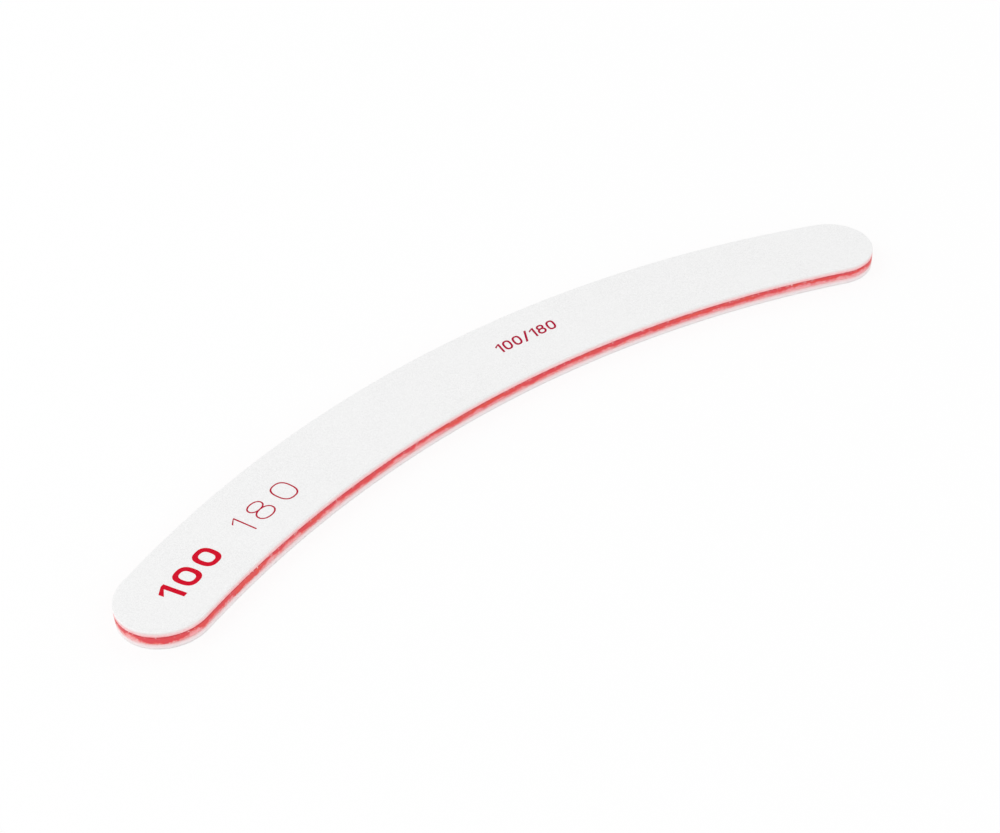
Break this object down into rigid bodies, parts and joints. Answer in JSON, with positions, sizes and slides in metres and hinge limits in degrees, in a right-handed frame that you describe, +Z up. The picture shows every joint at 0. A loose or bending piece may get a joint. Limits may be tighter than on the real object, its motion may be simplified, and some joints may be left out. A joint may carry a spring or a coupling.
{
  "type": "emery board",
  "caption": "Curved cushioned emery board: a springy core between foam cushions, faced with coarse and fine abrasive paper, for shaping fingernails.",
  "frame": {"origin": "middle of the bounding box in plan, on the surface that the board lies on", "axes": "+X along the length, towards the tip that is on the right when the hollow edge faces the viewer; -Y towards the hollow long edge; +Z up, out of the coarse face"},
  "size_m": [0.178, 0.035, 0.004],
  "materials": {
    "coarse_coat": "white 100 grit aluminium oxide in resin, matt and finely rough",
    "fine_coat": "white 180 grit aluminium oxide in resin, matt and very finely rough",
    "backing_paper": "dense latex paper, seen only at its cut edge",
    "adhesive_film": "clear pressure-sensitive film, seen only as a hairline",
    "cushion_foam": "white closed-cell foam, matt cut edge with fine open cells",
    "core_plastic": "red polystyrene, satin where the knife sheared it and pale where it broke",
    "print_ink": "thin matt red ink of the grit numbers printed on the coarse face"
  },
  "bodies": {
    "root": {"lower_abrasive_coat": "fine_coat", "lower_backing_paper": "backing_paper", "lower_paper_adhesive": "adhesive_film", "lower_cushion": "cushion_foam", "lower_core_adhesive": "adhesive_film", "core_board": "core_plastic", "upper_core_adhesive": "adhesive_film", "upper_cushion": "cushion_foam", "upper_paper_adhesive": "adhesive_film", "upper_backing_paper": "backing_paper", "upper_abrasive_coat": "coarse_coat"}
  },
  "joints": []
}
